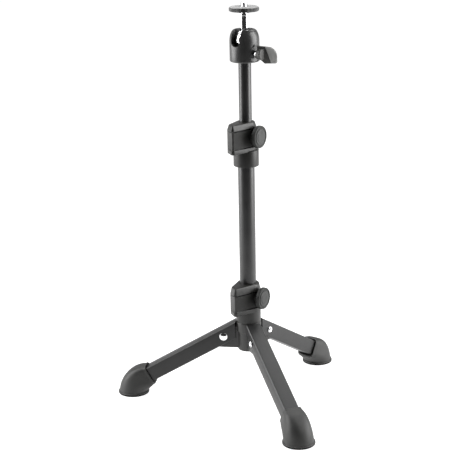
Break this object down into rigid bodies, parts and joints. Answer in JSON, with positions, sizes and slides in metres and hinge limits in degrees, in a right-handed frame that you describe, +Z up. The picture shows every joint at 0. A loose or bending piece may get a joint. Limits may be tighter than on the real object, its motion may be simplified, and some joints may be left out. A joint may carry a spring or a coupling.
{
  "type": "tabletop tripod stand",
  "caption": "Small folding tripod stand with a telescoping column, screw clamps and a lockable ball head with a camera stud.",
  "frame": {"origin": "centre of the footprint box on the floor; the column axis stands 29.45 mm behind it along +Y", "axes": "+Z up along the column, the front leg points along -Y, the other two at 30 and 150 degrees from +X"},
  "size_m": [0.2348, 0.2075, 0.3918],
  "materials": {
    "leg_enamel": "satin black enamel on square steel tube",
    "hub_casting": "satin black powder coat on a die casting",
    "boot_rubber": "matt moulded black rubber",
    "clamp_plastic": "satin moulded black glass-filled nylon",
    "knob_plastic": "satin moulded black plastic",
    "cap_plastic": "satin dark grey plastic, plain",
    "column_tube": "satin black powder coat on steel tube",
    "head_body": "satin black enamel",
    "lever_plastic": "moulded black plastic with a fine texture",
    "bright_metal": "bright chrome plate",
    "steel": "zinc plated steel",
    "brass": "turned brass",
    "nylon": "natural nylon",
    "black_plastic": "moulded black plastic",
    "platform_metal": "black enamel with a knurled rim",
    "pad_rubber": "grey rubber with a fine grain"
  },
  "bodies": {
    "base": {"hub": "hub_casting", "rivet_front": "bright_metal", "rivet_right": "bright_metal", "rivet_left": "bright_metal", "pivot_washers": "nylon", "lower_clamp": "clamp_plastic", "lower_insert": "brass"},
    "leg_front_assembly": {"leg_front": "leg_enamel", "boot_front": "boot_rubber"},
    "leg_right_assembly": {"leg_right": "leg_enamel", "boot_right": "boot_rubber"},
    "leg_left_assembly": {"leg_left": "leg_enamel", "boot_left": "boot_rubber"},
    "lower_clamp_shoe": {"lower_shoe": "nylon"},
    "lower_clamp_knob": {"lower_screw": "steel", "lower_knob": "knob_plastic", "lower_knob_cap": "cap_plastic"},
    "lower_tube_foot": {"lower_tube_plug": "black_plastic"},
    "lower_column": {"lower_tube": "column_tube", "upper_clamp": "clamp_plastic", "upper_insert": "brass"},
    "upper_clamp_shoe": {"upper_shoe": "nylon"},
    "upper_clamp_knob": {"upper_screw": "steel", "upper_knob": "knob_plastic", "upper_knob_cap": "cap_plastic"},
    "upper_tube_foot": {"upper_tube_guide": "black_plastic"},
    "upper_column": {"upper_tube": "column_tube", "tube_spigot": "steel", "head_base": "steel", "head_housing": "head_body", "ball_seat": "nylon"},
    "lock_pin": {"lock_pin": "brass"},
    "lever": {"lever_screw": "bright_metal", "lock_lever": "lever_plastic"},
    "ball": {"ball": "bright_metal"},
    "stem": {"ball_stem": "bright_metal", "camera_stud": "bright_metal"},
    "platform_washer": {"platform_washer": "platform_metal"},
    "platform": {"platform": "platform_metal", "platform_pad": "pad_rubber"}
  },
  "joints": [
    {"name": "leg_front_fold", "type": "hinge", "parent": "base", "child": "leg_front_assembly", "pos_m": [0, 0.00525, 0.0653], "axis": [1, 0, 0], "range_deg": [0, 59.9]},
    {"name": "leg_right_fold", "type": "hinge", "parent": "base", "child": "leg_right_assembly", "pos_m": [0.02096, 0.04155, 0.0653], "axis": [-0.5, 0.866, 0], "range_deg": [0, 59.9]},
    {"name": "leg_left_fold", "type": "hinge", "parent": "base", "child": "leg_left_assembly", "pos_m": [-0.02096, 0.04155, 0.0653], "axis": [-0.5, -0.866, 0], "range_deg": [0, 59.9]},
    {"name": "lower_tube_slide", "type": "slide", "parent": "base", "child": "lower_tube_foot", "axis": [0, 0, 1], "range_m": [-0.045, 0.03]},
    {"name": "lower_tube_swivel", "type": "hinge", "parent": "lower_tube_foot", "child": "lower_column", "pos_m": [0, 0.02945, 0.15], "axis": [0, 0, 1], "continuous": true},
    {"name": "upper_tube_slide", "type": "slide", "parent": "lower_column", "child": "upper_tube_foot", "axis": [0, 0, 1], "range_m": [-0.055, 0.08]},
    {"name": "upper_tube_swivel", "type": "hinge", "parent": "upper_tube_foot", "child": "upper_column", "pos_m": [0, 0.02945, 0.25], "axis": [0, 0, 1], "continuous": true},
    {"name": "lower_shoe_travel", "type": "slide", "parent": "base", "child": "lower_clamp_shoe", "axis": [0.5592, -0.829, 0], "range_m": [0, 0.0016]},
    {"name": "lower_knob_turn", "type": "hinge", "parent": "lower_clamp_shoe", "child": "lower_clamp_knob", "pos_m": [0.00671, 0.0195, 0.1065], "axis": [0.5592, -0.829, 0], "range_deg": [0, 720]},
    {"name": "upper_shoe_travel", "type": "slide", "parent": "lower_column", "child": "upper_clamp_shoe", "axis": [0.5592, -0.829, 0], "range_m": [0, 0.0016]},
    {"name": "upper_knob_turn", "type": "hinge", "parent": "upper_clamp_shoe", "child": "upper_clamp_knob", "pos_m": [0.00671, 0.0195, 0.2663], "axis": [0.5592, -0.829, 0], "range_deg": [0, 720]},
    {"name": "lock_pin_travel", "type": "slide", "parent": "upper_column", "child": "lock_pin", "axis": [0.4695, -0.8829, 0], "range_m": [0, 0.001]},
    {"name": "lever_turn", "type": "hinge", "parent": "lock_pin", "child": "lever", "pos_m": [0.00657, 0.01709, 0.3447], "axis": [0.4695, -0.8829, 0], "range_deg": [0, 360]},
    {"name": "ball_tilt", "type": "hinge", "parent": "upper_column", "child": "ball", "pos_m": [0, 0.02945, 0.3565], "axis": [0.4695, -0.8829, 0], "range_deg": [-20, 90]},
    {"name": "stem_turn", "type": "hinge", "parent": "ball", "child": "stem", "pos_m": [0, 0.02945, 0.37], "axis": [0, 0, 1], "continuous": true},
    {"name": "platform_travel", "type": "slide", "parent": "stem", "child": "platform_washer", "axis": [0, 0, 1], "range_m": [0, 0.00254]},
    {"name": "platform_turn", "type": "hinge", "parent": "platform_washer", "child": "platform", "pos_m": [0, 0.02945, 0.384], "axis": [0, 0, 1], "range_deg": [0, 720]}
  ],
  "couplings": [
    {"joint": "lower_knob_turn", "follows": "lower_shoe_travel", "rad_per_m": 7854},
    {"joint": "upper_knob_turn", "follows": "upper_shoe_travel", "rad_per_m": 7854},
    {"joint": "lever_turn", "follows": "lock_pin_travel", "rad_per_m": 6283.2},
    {"joint": "platform_turn", "follows": "platform_travel", "rad_per_m": 4947.4}
  ]
}
